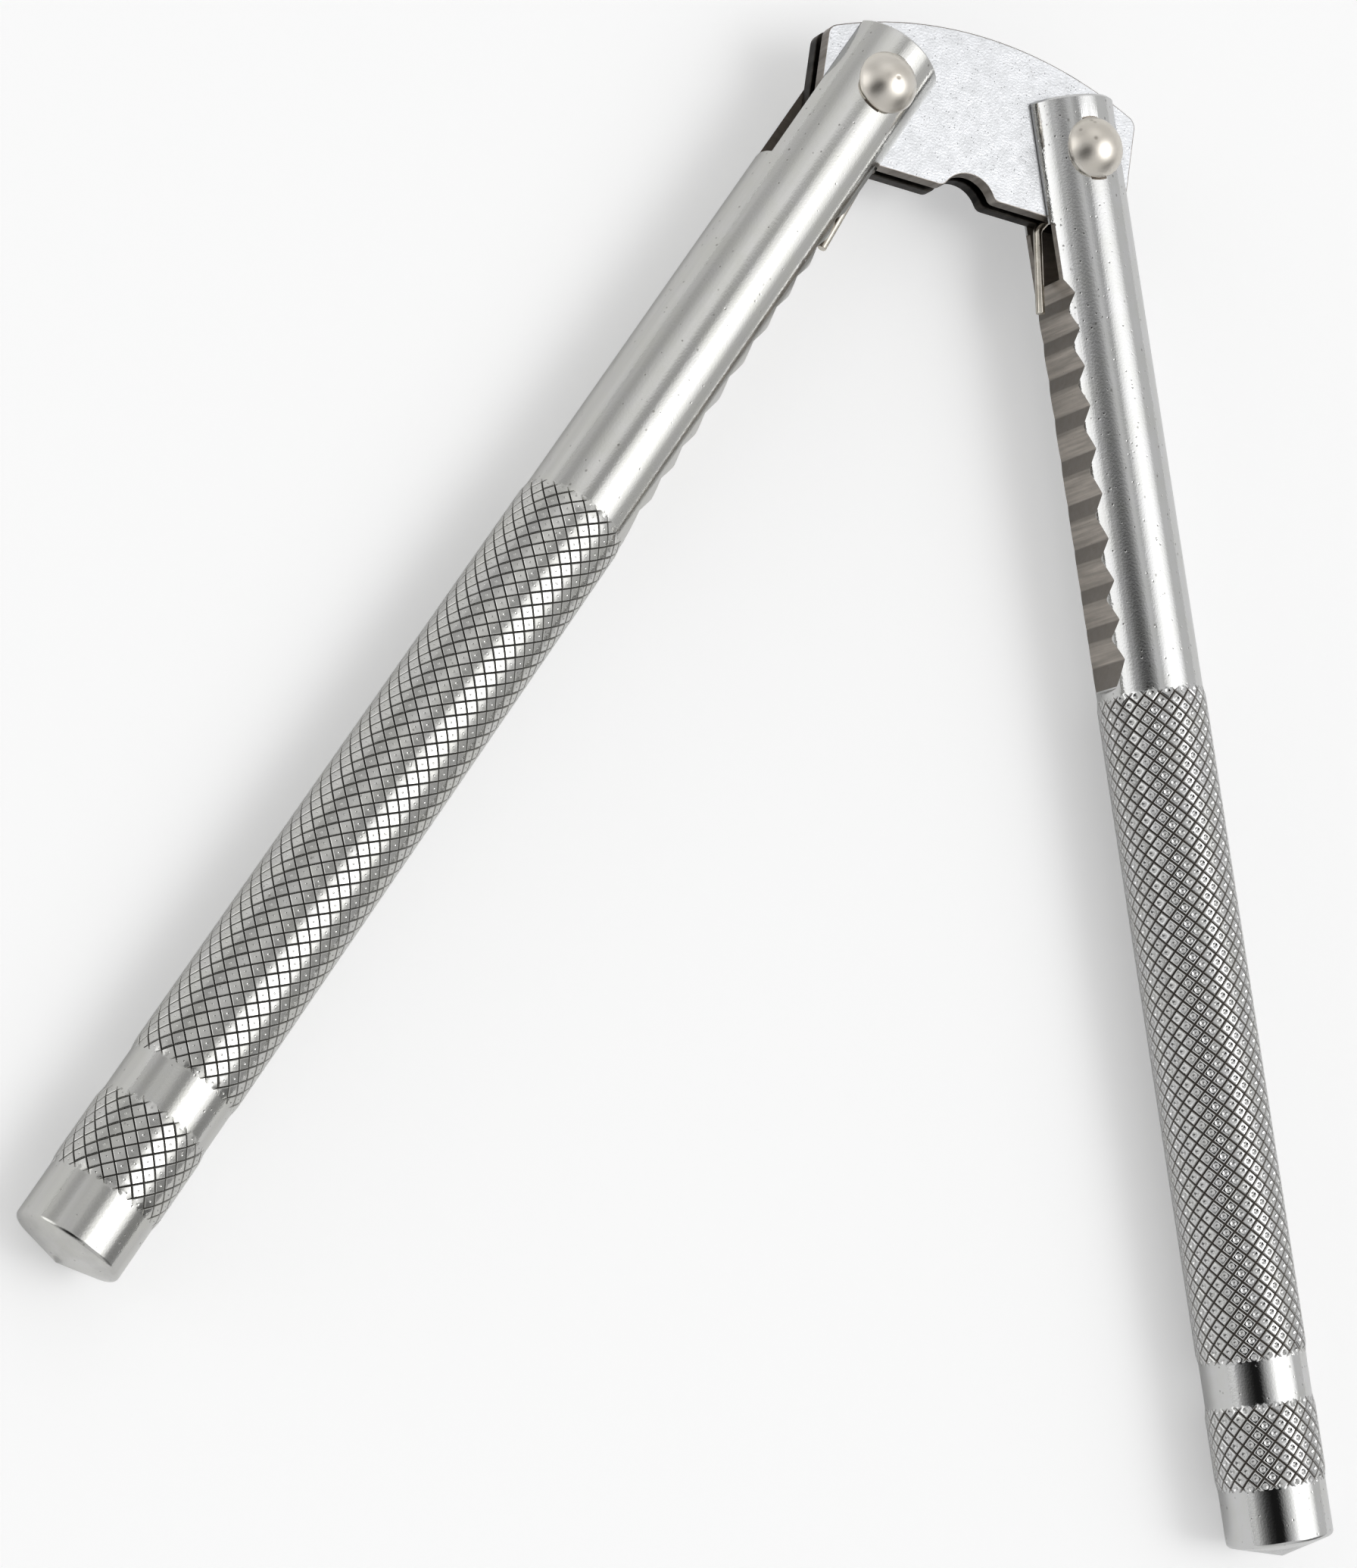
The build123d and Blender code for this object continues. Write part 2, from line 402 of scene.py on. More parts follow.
def bar_finish(side, tint, groove_grime_and_shade, roughness, wave, peel_depth, pits, streak_share):
    """Bright plating for one bar, with dirt and painted shade in the grooves of its knurl."""
    material, wiring, shader = new_material(f"{side.name}_bar_plating")
    drawn_out = wiring.space(STREAK_STRETCH, side.lean, side.pivot)
    even = wiring.space(SKIN_STRETCH, side.lean, side.pivot)
    skin = use_group(wiring, peel, Vector=even, Wave=wave, Pit_Cells=PIT_CELLS, Pits=pits)
    drawn = use_group(wiring, lines, Vector=drawn_out, Fineness=STREAK_FINENESS, Breaks=0.8)
    stain = use_group(wiring, mottle, Vector=even, Size=STAIN_SIZE, Specks=pits * 0.5)
    relief = wiring.add("ShaderNodeAttribute", {"attribute_name": "relief"}).outputs["Fac"]
    out_of_groove = wiring.span(relief, 0.25, 0.85)

    metal = wiring.mix(drawn.outputs["Streak"], dimmed(tint, 1 - streak_share), (*tint, 1))
    stained = (*(channel * share for channel, share in zip(tint, STAIN_TINT)), 1)
    clouded = wiring.mix(wiring.math("MULTIPLY", stain.outputs["Cloud"], 0.5), metal, stained)
    marked = wiring.math("MAXIMUM", skin.outputs["Pit"], stain.outputs["Speck"])
    specked = wiring.mix(wiring.math("MULTIPLY", marked, 0.55), clouded, DIRT)
    # Painted shade with dirt: the knurl's grooves and pip hollows take the dark groove colour, and are less
    # metallic and rougher there.
    wiring.set(shader, "Base Color", wiring.mix(out_of_groove, (*groove_grime_and_shade, 1), specked))
    wiring.set(shader, "Metallic", wiring.span(out_of_groove, 0, 1, 0.3, 1.0))

    gloss = wiring.span(drawn.outputs["Streak"], 0, 1, roughness * 1.3, roughness * 0.8)
    wiring.set(shader, "Roughness", wiring.math("ADD", gloss, wiring.span(out_of_groove, 0, 1, 0.35, 0)))
    fine = wiring.bump(peel_depth * STREAK_DEPTH, drawn.outputs["Height"])
    wiring.set(shader, "Normal", wiring.bump(peel_depth, skin.outputs["Height"], fine))
    return material


platings = {side.name: bar_finish(side, **BAR_LOOKS[side.name]) for side in sides}

# %% [markdown]
# The jaw was milled after plating, so its teeth are bare steel: duller, browner, and
# lined across by the cutter. The same lines group is drawn out across the bar for it.
# The side of each tooth that faces the fork is painted darker as shade, and a tilt value stored on
# the mesh says which side that is. Inside the fork the steel is bare too, and darker.

# %% Bare steel finishes
MILLED_STRETCH = (6, 1, 20)
MILLED_FINENESS = 16000.0
STEEL_CLOUD = 900.0
STEEL_SPECK = (0.07, 0.06, 0.05, 1)
FULL_TILT = 0.25
# Painted shade: both jaws are the same steel, and the left teeth are painted darker than the right ones as
# shade.
TOOTH_COLOURS_LEFT_SHADED = {"left": (0.38, 0.35, 0.315), "right": (0.60, 0.55, 0.495)}
SLOT_COLOUR = (0.40, 0.35, 0.30)


def bare_finish(name, side, colour, roughness, line_depth, metallic):
    """Milled steel with the cutter's lines running through the bar's thickness."""
    material, wiring, shader = new_material(f"{side.name}_{name}", metallic=metallic)
    across = wiring.space(MILLED_STRETCH, side.lean, side.pivot)
    milled = use_group(wiring, lines, Vector=across, Fineness=MILLED_FINENESS, Breaks=0.6)
    cloudy = use_group(wiring, mottle, Vector=wiring.space(), Size=STEEL_CLOUD, Specks=0.16)
    steel = wiring.mix(milled.outputs["Streak"], dimmed(colour, 0.66), (*colour, 1))
    tilt = wiring.add("ShaderNodeAttribute", {"attribute_name": "tilt"}).outputs["Fac"]
    # Painted shade: the tilt darkens the side of each tooth that faces the fork, down to 0.45 of the steel's
    # colour.
    tilt_shaded_steel = wiring.mix(wiring.span(tilt, -FULL_TILT, FULL_TILT), steel, dimmed(colour, 0.45))
    speck = wiring.math("MULTIPLY", cloudy.outputs["Speck"], 0.5)
    wiring.set(shader, "Base Color", wiring.mix(speck, tilt_shaded_steel, STEEL_SPECK))
    dull = wiring.span(cloudy.outputs["Cloud"], 0, 1, roughness * 0.85, roughness * 1.2)
    wiring.set(shader, "Roughness", dull)
    wiring.set(shader, "Normal", wiring.bump(line_depth, milled.outputs["Height"]))
    return material


tooth_steel = {
    side.name: bare_finish("tooth_steel", side, TOOTH_COLOURS_LEFT_SHADED[side.name], 0.40, 8e-6, 0.9)
    for side in sides
}
slot_steel = {
    side.name: bare_finish("slot_steel", side, SLOT_COLOUR, 0.34, 1.2e-5, 0.55) for side in sides
}
print("bar materials", len(platings) + len(tooth_steel) + len(slot_steel))

# %% [markdown]
# ## The turned bar
# Each handle starts as a round bar in a lathe. The smooth stretches are turned shapes, so
# a profile is drawn beside the axis and spun round it. A full spin closes on itself with
# use_merge, and points on the axis are welded into one pole.

# %% Turning
KNURL_R = mounts["right_grip"]["dims"]["r_mm"]
SHANK_R = KNURL_R - 0.2
TOP = 7.2
TOP_CHAMFER = 0.35
MAIN_KNURL = (69.9, 155.0)
END_KNURL = (160.4, 171.0)
RIM = 178.0
CONE = 2.0
RIM_ROUND = 0.6
RING_STEPS = 168
KNURL_MARGIN = 0.2


def spun(points, axis, cent=(0, 0, 0), steps=RING_STEPS):
    """Spin a chain of points a full turn about an axis."""
    bm = bmesh.new()
    chain = [bm.verts.new(point) for point in points]
    edges = [bm.edges.new(pair) for pair in zip(chain, chain[1:])]
    bmesh.ops.spin(
        bm, geom=chain + edges, cent=cent, axis=axis, angle=2 * pi,
        steps=steps, use_merge=True, use_duplicate=False,
    )
    bmesh.ops.remove_doubles(bm, verts=bm.verts, dist=WELD)
    return bm


def turned(points):
    """A turned stretch of bar from (radius, distance down the bar) points."""
    return spun([(radius, -down, 0) for radius, down in points], (0, 1, 0))


# %% [markdown]
# ## Cutters for the fork and the jaw
# A mill cuts the bar, so four cutters do it here: the bore with a seat for each rivet
# head, a disc's slot that straddles the plates, a plated flat along the inner side, and
# the row of tooth cuts. Each is a spun or extruded outline, and a Boolean takes it away.
# The bore comes first, which gives the Boolean the same points on every run. A cutter's
# own material stays on the faces that it cuts.

# %% Cutters
UPPER_FLAT = 6.05
UPPER_FLAT_END = 8.8
LAND = 5.7
TOOTH_CUTS = (18.2, 22.8, 27.7, 32.8, 38.4, 44.2, 50.0, 55.4, 60.4, 65.5)
FIRST_CUT_START = 16.2
TOOTH_DEPTH = 0.85
CREST_SHARE = 0.44
CREST_FIRST = 5.75
CREST_LAST = 6.3
LAST_CREST_LENGTH = 1.2
VALLEY_BREAK = 0.1
CREST_BREAK = 0.4
REACH = 9.0
SLOT_HALF = 2.7
SLOT_CUTTER_R = 20.0
SLOT_ROOT = 16.85
BORE_R = 2.55
SEAT = 6.7
SEAT_R = 4.2


def outline(points):
    """A bmesh with one flat face in the XY plane."""
    bm = bmesh.new()
    bm.faces.new([bm.verts.new((x, y, 0)) for x, y in points])
    return bm


def extrude_through(bm, half):
    """Thicken a flat outline by half each way along Z."""
    bmesh.ops.translate(bm, verts=bm.verts, vec=(0, 0, -half))
    made = bmesh.ops.extrude_face_region(bm, geom=bm.faces[:])
    top = [item for item in made["geom"] if isinstance(item, bmesh.types.BMVert)]
    bmesh.ops.translate(bm, verts=top, vec=(0, 0, 2 * half))
    return bm


def slot_cutter():
    """A disc whose upper half is squared off, so that it runs out past the bar's top."""
    bm = bmesh.new()
    bmesh.ops.create_circle(bm, cap_ends=True, segments=128, radius=SLOT_CUTTER_R)
    for vert in bm.verts:
        if vert.co.y > WELD:
            vert.co.x = SLOT_CUTTER_R if vert.co.x > 0 else -SLOT_CUTTER_R
    bmesh.ops.translate(bm, verts=bm.verts, vec=(0, SLOT_CUTTER_R - SLOT_ROOT, 0))
    return extrude_through(bm, SLOT_HALF)


def flat_cutter():
    """The flat milled before plating; it runs out just above the knurling."""
    end = MAIN_KNURL[0] - 2 * KNURL_MARGIN
    return extrude_through(outline([
        (-REACH, TOP + 1), (-UPPER_FLAT, TOP + 1), (-UPPER_FLAT, -UPPER_FLAT_END),
        (-CREST_LAST, -UPPER_FLAT_END), (-CREST_LAST, -end + LAST_CREST_LENGTH / 2),
        (-KNURL_R, -end), (-REACH, -end),
    ]), REACH)


def tooth_cutter():
    """The land below the plates and the row of tooth cuts, milled after plating."""
    points = [(-REACH, -UPPER_FLAT_END), (-LAND, -UPPER_FLAT_END), (-LAND, -FIRST_CUT_START)]
    floors, crests = [], []
    for index, cut in enumerate(TOOTH_CUTS):
        height = CREST_FIRST + (CREST_LAST - CREST_FIRST) * index / (len(TOOTH_CUTS) - 1)
        floors.append(cut)
        points.append((-height + TOOTH_DEPTH, -cut))
        if index + 1 < len(TOOTH_CUTS):
            crests.append(cut + CREST_SHARE * (TOOTH_CUTS[index + 1] - cut))
            points.append((-height, -crests[-1]))
    last = MAIN_KNURL[0] - LAST_CREST_LENGTH
    points += [(-CREST_LAST, -last), (-REACH, -last)]
    bm = extrude_through(outline(points), REACH)
    for levels, offset in ((floors, VALLEY_BREAK), (crests, CREST_BREAK)):
        across = [
            edge for edge in bm.edges
            if any(all(abs(vert.co.y + level) < WELD for vert in edge.verts) for level in levels)
        ]
        bmesh.ops.bevel(
            bm, geom=across, offset=offset, offset_type="OFFSET", affect="EDGES",
            segments=3, profile=0.5, material=-1,
        )
    return bm


def bore_cutter():
    """The pivot hole with a shallow seat on each side for a rivet head."""
    return spun([
        (0, 0, -REACH), (SEAT_R, 0, -REACH), (SEAT_R, 0, -SEAT), (BORE_R, 0, -SEAT),
        (BORE_R, 0, SEAT), (SEAT_R, 0, SEAT), (SEAT_R, 0, REACH), (0, 0, REACH),
    ], (0, 0, 1), steps=96)


# %% [markdown]
# The Boolean works on whole objects, so the blank and its cutters live for a moment as
# objects. The cut edges then get a narrow bevel: no milled edge is perfectly sharp, and
# the bevel is what catches the light along every tooth. Last, each facet's tilt is
# stored on its points for the shader.

# %% Mill the upper bar
EDGE_BEVEL = 0.08
BEVEL_ABOVE = radians(26)
GROUND = 1                      # place of the bare steel among a bar's materials
SMALL_FACE = 4.0                # square mm; a facet of a tooth is larger


def milled_bar(materials):
    """The upper bar with its fork, flat, teeth and bore, open at the lower end."""
    plated, ground, slot = materials
    end = MAIN_KNURL[0] - KNURL_MARGIN
    blank = turned([
        (0, -TOP), (SHANK_R - TOP_CHAMFER, -TOP), (SHANK_R, TOP_CHAMFER - TOP),
        (SHANK_R, end), (0, end),
    ])
    piece = add_object("blank", mesh_from(blank, "blank"), [plated])
    tools = [
        add_object(name, mesh_from(cutter, name), [material]) for name, cutter, material in (
            ("bore", bore_cutter(), slot), ("slot", slot_cutter(), slot),
            ("flat", flat_cutter(), plated), ("teeth", tooth_cutter(), ground),
        )
    ]
    for tool in tools:
        cut = piece.modifiers.new(tool.name, "BOOLEAN")
        cut.operation = "DIFFERENCE"
        cut.solver = "EXACT"
        cut.material_mode = "TRANSFER"
        cut.object = tool
    graph = bpy.context.evaluated_depsgraph_get()
    mesh = bpy.data.meshes.new_from_object(piece.evaluated_get(graph))
    for used in tools + [piece]:
        bpy.data.objects.remove(used)
    order = [materials.index(material) for material in mesh.materials]
    bm = bmesh.new()
    bm.from_mesh(mesh)
    for face in bm.faces:
        face.material_index = order[face.material_index]
    lower = [face for face in bm.faces if all(vert.co.y < WELD - end for vert in face.verts)]
    bmesh.ops.delete(bm, geom=lower, context="FACES")
    bmesh.ops.remove_doubles(bm, verts=bm.verts, dist=WELD)
    return bm


def mark_tilt(bm):
    """Store on the points of each milled facet how far it faces the bar's top end."""
    tilt = bm.verts.layers.float.new("tilt")
    for face in bm.faces:
        if face.material_index == GROUND and face.calc_area() > SMALL_FACE:
            for vert in face.verts:
                vert[tilt] = face.normal.y


def break_edges(bm):
    """Bevel every edge that is sharper than an angle."""
    sharp = [
        edge for edge in bm.edges
        if len(edge.link_faces) == 2 and edge.calc_face_angle() > BEVEL_ABOVE
    ]
    bmesh.ops.bevel(
        bm, geom=sharp, offset=EDGE_BEVEL, offset_type="OFFSET", affect="EDGES",
        segments=2, profile=0.5, material=-1, clamp_overlap=True,
    )
    print("bevelled", len(sharp), "edges")


# %% [markdown]
# ## Knurling
# A knurling tool presses two sets of spiral grooves into the bar and leaves a field of
# small diamonds, each with a pip in its centre from the wheel. One diamond is modelled
# flat with insets, copied into a row, the row into a sheet, and the sheet is rolled
# round the bar. At each end the grooves run on a little past their last crossing and
# fade out, as the wheel lifts. The relief value stays on each point for the shader: 0
# at the bottom of a groove, 1 on top.

# %% One diamond
STARTS = 21
PITCH = 2 * pi * KNURL_R / STARTS
GROOVE_DEPTH = 0.34
GROOVE_HALF = {"left": 0.10, "right": 0.15}
CREST_ROUND = {"left": 0.06, "right": 0.11}
CREST_RISE = {"left": 0.03, "right": 0.06}
PIP_R = {"left": 0.16, "right": 0.42}
PIP_WALL = {"left": 0.06, "right": 0.20}
PIP_DEPTH = {"left": 0.03, "right": 0.14}


def ring_inset(bm, top, thickness, rise, value):
    """Inset the top face and lift it, setting the relief of its new ring."""
    relief = bm.verts.layers.float["relief"]
    bmesh.ops.inset_individual(bm, faces=[top], thickness=thickness, use_even_offset=True)
    for vert in top.verts:
        vert.co.z += rise
        vert[relief] = value


def diamond(name):
    """One knurl cell, flat in XY: groove walls, a rounded crest and a pip."""
    bm = bmesh.new()
    bm.verts.layers.float.new("relief")
    bmesh.ops.create_circle(bm, cap_ends=True, segments=4, radius=PITCH / 2)
    top = bm.faces[:][0]
    ring_inset(bm, top, GROOVE_HALF[name], GROOVE_DEPTH - CREST_RISE[name], 0.75)
    ring_inset(bm, top, CREST_ROUND[name], CREST_RISE[name], 1.0)
    bmesh.ops.subdivide_edges(bm, edges=top.edges[:], cuts=1)
    bm.faces.ensure_lookup_table()
    top = max(bm.faces, key=lambda face: min(vert.co.z for vert in face.verts))
    ring_inset(bm, top, PIP_R[name] / 2, 0, 1.0)
    for vert in top.verts:
        flat = vert.co.xy.normalized() * PIP_R[name]
        vert.co.x, vert.co.y = flat
    ring_inset(bm, top, PIP_WALL[name], -PIP_DEPTH[name], 0.8)
    centre = bmesh.ops.poke(bm, faces=[top])["verts"][0]
    centre.co.z -= PIP_DEPTH[name] / 2
    centre[bm.verts.layers.float["relief"]] = 0.55
    return bm


# %% A sheet of diamonds, rolled
TIP = 0.5
CREST_RUN = 1.3


def vertices_in(geometry):
    return [item for item in geometry if isinstance(item, bmesh.types.BMVert)]


def copies(bm, geometry, count, step):
    """Copy geometry until there are count of it, each a further step along."""
    for index in range(1, count):
        made = bmesh.ops.duplicate(bm, geom=geometry)["geom"]
        bmesh.ops.translate(bm, verts=vertices_in(made), vec=Vector(step) * index)


def everything(bm):
    return bm.verts[:] + bm.edges[:] + bm.faces[:]


def knurl_sheet(half_rows, name):
    """A flat sheet of diamonds, its first crossing of grooves at y = 0, cut square."""
    bm = diamond(name)
    copies(bm, everything(bm), STARTS, (PITCH, 0, 0))
    row = everything(bm)
    between = bmesh.ops.duplicate(bm, geom=row)["geom"]
    bmesh.ops.translate(bm, verts=vertices_in(between), vec=(PITCH / 2, PITCH / 2, 0))
    copies(bm, row, half_rows // 2 + 2, (0, -PITCH, 0))
    copies(bm, between, half_rows // 2 + 3, (0, -PITCH, 0))
    bmesh.ops.remove_doubles(bm, verts=bm.verts, dist=WELD)
    bottom = -half_rows * PITCH / 2 - TIP
    for level, normal in ((TIP, (0, 1, 0)), (bottom, (0, -1, 0))):
        bmesh.ops.bisect_plane(
            bm, geom=everything(bm), dist=WELD / 4, plane_co=(0, level, 0),
            plane_no=normal, clear_outer=True,
        )
    return bm, bottom


def knurl_band(start, end, name):
    """A rolled band of diamonds between two distances down the bar, open at both ends."""
    half_rows = round((end - start - 2 * TIP) / (PITCH / 2))
    bm, bottom = knurl_sheet(half_rows, name)
    stretch = (end - start) / (TIP - bottom)
    relief = bm.verts.layers.float["relief"]
    for vert in bm.verts:
        across, along, height = vert.co
        inside = min(TIP - along, along - bottom)
        cut = min(1, inside / TIP)
        crest = SHANK_R + (KNURL_R - SHANK_R) * min(1, inside / CREST_RUN)
        radius = crest - (GROOVE_DEPTH - height) * cut
        vert[relief] = 1 + (vert[relief] - 1) * cut
        turn = across / KNURL_R
        vert.co = (radius * cos(turn), -start - (TIP - along) * stretch, radius * sin(turn))
    bmesh.ops.remove_doubles(bm, verts=bm.verts, dist=WELD)
    print("knurl band", half_rows, "half rows,", len(bm.faces), "faces")
    return bm


# %% [markdown]
# The bands and the smooth stretches are then welded into one skin: where a smooth ring
# faces a knurl's edge, the two open loops are bridged. The end of the bar is turned to a
# shallow point with a rounded rim.

# %% Put a handle together


def join_into(target, source):
    """Add one bmesh to another, through a mesh that is thrown away."""
    mesh = bpy.data.meshes.new("join")
    source.to_mesh(mesh)
    source.free()
    target.from_mesh(mesh)
    bpy.data.meshes.remove(mesh)


def on_top(bm):
    """Give every point of a smooth stretch a relief value of 1."""
    relief = bm.verts.layers.float.new("relief")
    for vert in bm.verts:
        vert[relief] = 1.0
    return bm


def rounded_end():
    """The last smooth stretch, its shallow point, and the rim between them bevelled round."""
    bm = turned([(SHANK_R, END_KNURL[1] + KNURL_MARGIN), (SHANK_R, RIM), (0, RIM + CONE)])
    rim = [edge for edge in bm.edges if all(abs(vert.co.y + RIM) < WELD for vert in edge.verts)]
    turn = pi / 2 - atan2(CONE, SHANK_R)
    bmesh.ops.bevel(
        bm, geom=rim, offset=RIM_ROUND * tan(turn / 2), offset_type="OFFSET", affect="EDGES",
        segments=6, profile=0.5, material=-1,
    )
    return on_top(bm)


def bridge_at(bm, level):
    """Bridge the two open loops that face each other round a level down the bar."""
    reach = 1.5 * KNURL_MARGIN
    near = [
        edge for edge in bm.edges
        if edge.is_boundary and all(abs(vert.co.y + level) < reach for vert in edge.verts)
    ]
    bmesh.ops.bridge_loops(bm, edges=near)


def handle_mesh(side, materials):
    """The whole bar, upright on the bench, then carried to its side."""
    bm = milled_bar(materials)
    break_edges(bm)
    mark_tilt(bm)
    on_top(bm)
    between = turned([
        (SHANK_R, MAIN_KNURL[1] + KNURL_MARGIN), (SHANK_R, END_KNURL[0] - KNURL_MARGIN),
    ])
    join_into(bm, on_top(between))
    join_into(bm, rounded_end())
    for start, end in (MAIN_KNURL, END_KNURL):
        join_into(bm, knurl_band(start, end, side.name))
        bridge_at(bm, start)
        bridge_at(bm, end)
    return mesh_from(bm, f"{side.name}_bar", side.matrix)


for side in sides:
    materials = [platings[side.name], tooth_steel[side.name], slot_steel[side.name]]
    bar = add_object(f"{side.name}_bar", handle_mesh(side, materials), materials)
    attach(bar, side.body)
    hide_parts(f"{side.name}_handle")
    weigh_normals(bar)
    report(bar)

# %% [markdown]
# ## Head plates
# The two plates are punched from galvanised sheet. The engineering mesh already has the
# right outline, but its edges are razor sharp, so a copy is welded, its flat faces are
# merged, and its rim is bevelled. The sheet's face is a cloudy bluish zinc with specks.
# The sheared rim shows duller, browner metal. The faces that look at each other, and the back plate's rim,
# are painted near black as the shade in the gap between the plates. Each of these has a material of its own.

# %% Plate finishes
SCORED_STRETCH = (1, 1, 9)


def sheet_finish():
    """Mottled zinc with a soft satin gloss."""
    material, wiring, shader = new_material("zinc_sheet")
    coords = wiring.space()
    cloudy = use_group(wiring, mottle, Vector=coords, Size=700.0, Specks=0.12)
    skin = use_group(wiring, peel, Vector=coords, Wave=3400.0, Pit_Cells=2720.0, Pits=0.16)
    zinc = wiring.mix(cloudy.outputs["Cloud"], (0.65, 0.66, 0.675, 1), (0.72, 0.73, 0.75, 1))
    specked = wiring.mix(cloudy.outputs["Speck"], zinc, (0.30, 0.29, 0.28, 1))
    wiring.set(shader, "Base Color", specked)
    wiring.set(shader, "Roughness", wiring.span(cloudy.outputs["Cloud"], 0, 1, 0.44, 0.36))
    wiring.set(shader, "Normal", wiring.bump(2.6e-5, skin.outputs["Height"]))
    return material


def sheared_finish(name, dark, light):
    """The cut rim of the sheet, scored straight through its thickness."""
    material, wiring, shader = new_material(name, roughness=0.42)
    tall = wiring.space(SCORED_STRETCH)
    scored = use_group(wiring, lines, Vector=tall, Fineness=3500.0, Breaks=1.0)
    wiring.set(shader, "Base Color", wiring.mix(scored.outputs["Streak"], dark, light))
    wiring.set(shader, "Normal", wiring.bump(8e-6, scored.outputs["Height"]))
    return material


zinc_sheet = sheet_finish()
sheared_edge = sheared_finish("sheared_edge", (0.19, 0.17, 0.15, 1), (0.40, 0.37, 0.34, 1))
# Painted shade: a near-black steel for the faces inside the gap between the plates and for the back plate's
# rim.
gap_shade_steel = sheared_finish("gap_shade_steel", (0.012, 0.011, 0.010, 1), (0.07, 0.063, 0.055, 1))

# %% Plate pieces
PLATE_BEVEL = 0.16
FLAT_WITHIN = radians(1)
RIM_ABOVE = radians(60)
OUTER, RIM_CUT, GAP_SHADE = range(3)


def plate_mesh(node, outward, rim_material):
    """A welded and bevelled copy of a plate, with a material for each kind of face."""
    bm = bmesh.new()
    bm.from_mesh(bpy.data.objects[node].data)
    bmesh.ops.remove_doubles(bm, verts=bm.verts, dist=WELD * MM)
    bmesh.ops.dissolve_limit(
        bm, angle_limit=FLAT_WITHIN, use_dissolve_boundaries=False,
        verts=bm.verts[:], edges=bm.edges[:],
    )
    for face in bm.faces:
        facing = face.normal.z * outward
        face.material_index = rim_material
        if abs(facing) > cos(FLAT_WITHIN):
            # Painted shade: faces turned towards the other plate get the near-black gap colour.
            face.material_index = OUTER if facing > 0 else GAP_SHADE
    rim = [edge for edge in bm.edges if edge.is_manifold and edge.calc_face_angle() > RIM_ABOVE]
    bmesh.ops.bevel(
        bm, geom=rim, offset=PLATE_BEVEL * MM, offset_type="OFFSET", affect="EDGES",
        segments=3, profile=0.5, material=rim_material,
    )
    return finished_mesh(bm, node)


# Painted shade: the back plate's rim takes the near-black gap colour.
for where, outward, rim_material in (("front", 1, RIM_CUT), ("back", -1, GAP_SHADE)):
    plate = add_object(
        f"{where}_head_plate", plate_mesh(f"{where}_plate", outward, rim_material),
        [zinc_sheet, sheared_edge, gap_shade_steel],
    )
    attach(plate, "head")
    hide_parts(f"{where}_plate")
    weigh_normals(plate)
    report(plate)

# %% [markdown]
# ## Rivets
# Each pivot is a solid rivet with a domed head on both ends: a shape of revolution, so
# it is spun. The heads are polished nickel, a little warmer than the plating, with fine
# scratches and small chips from being closed and buffed.

# %% Rivet finish
SCRATCH_STRETCH = (14, 1, 1)
SCRATCH_TURN = radians(35)


def rivet_finish():
    """Warm polished nickel with slanting scratches and small chips."""
    material, wiring, shader = new_material("polished_nickel")
    skin = use_group(
        wiring, peel, Vector=wiring.space(), Wave=700.0, Pit_Cells=560.0, Pits=0.16,
    )
    slanting = wiring.space(SCRATCH_STRETCH, SCRATCH_TURN)
    scratched = use_group(wiring, lines, Vector=slanting, Fineness=3000.0, Breaks=0.4)
    streak = scratched.outputs["Streak"]
    nickel = wiring.mix(streak, (0.84, 0.79, 0.71, 1), (0.90, 0.86, 0.79, 1))
    chip = wiring.math("MULTIPLY", skin.outputs["Pit"], 0.6)
    wiring.set(shader, "Base Color", wiring.mix(chip, nickel, (0.16, 0.13, 0.10, 1)))
    wiring.set(shader, "Roughness", wiring.span(streak, 0, 1, 0.31, 0.38))
    fine = wiring.bump(2.5e-6, scratched.outputs["Height"])
    wiring.set(shader, "Normal", wiring.bump(1.5e-5, skin.outputs["Height"], fine))
    return material


# %% Rivet pieces
RIVET_R = 2.5
HEAD_R = 3.95
HEAD_SEAT = 6.75
HEAD_RIM = 0.4
HEAD_TOP = 9.45
HEAD_ROUND = 0.12
DOME_STEPS = 22


def rivet_profile():
    """Half the section of one head and half the shank, from the dome's top to the middle."""
    rise = HEAD_TOP - HEAD_SEAT - HEAD_RIM
    crown_r = (HEAD_R**2 + rise**2) / (2 * rise)
    sweep = asin(HEAD_R / crown_r)
    angles = [sweep * step / DOME_STEPS for step in range(DOME_STEPS)]
    dome = [(crown_r * sin(angle), HEAD_TOP - crown_r * (1 - cos(angle))) for angle in angles]
    rim = [
        (HEAD_R - HEAD_ROUND * 0.4, HEAD_SEAT + HEAD_RIM + HEAD_ROUND * 0.25),
        (HEAD_R, HEAD_SEAT + HEAD_RIM - HEAD_ROUND * 0.5),
        (HEAD_R, HEAD_SEAT + HEAD_ROUND), (HEAD_R - HEAD_ROUND, HEAD_SEAT),
    ]
    return dome + rim + [(RIVET_R, HEAD_SEAT)]


def rivet_mesh(side):
    """A whole rivet: the profile and its mirror image, spun about the pivot."""
    upper = rivet_profile()
    lower = [(radius, -height) for radius, height in reversed(upper)]
    bm = spun([(radius, 0, height) for radius, height in upper + lower], (0, 0, 1), steps=96)
    place = Matrix.Translation(side.pivot) @ Matrix.Scale(MM, 4)
    return mesh_from(bm, f"{side.name}_domed_rivet", place)


polished_nickel = rivet_finish()
for side in sides:
    rivet = add_object(f"{side.name}_domed_rivet", rivet_mesh(side), [polished_nickel])
    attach(rivet, "head")
    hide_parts(f"{side.name}_rivet")
    weigh_normals(rivet)
    report(rivet)

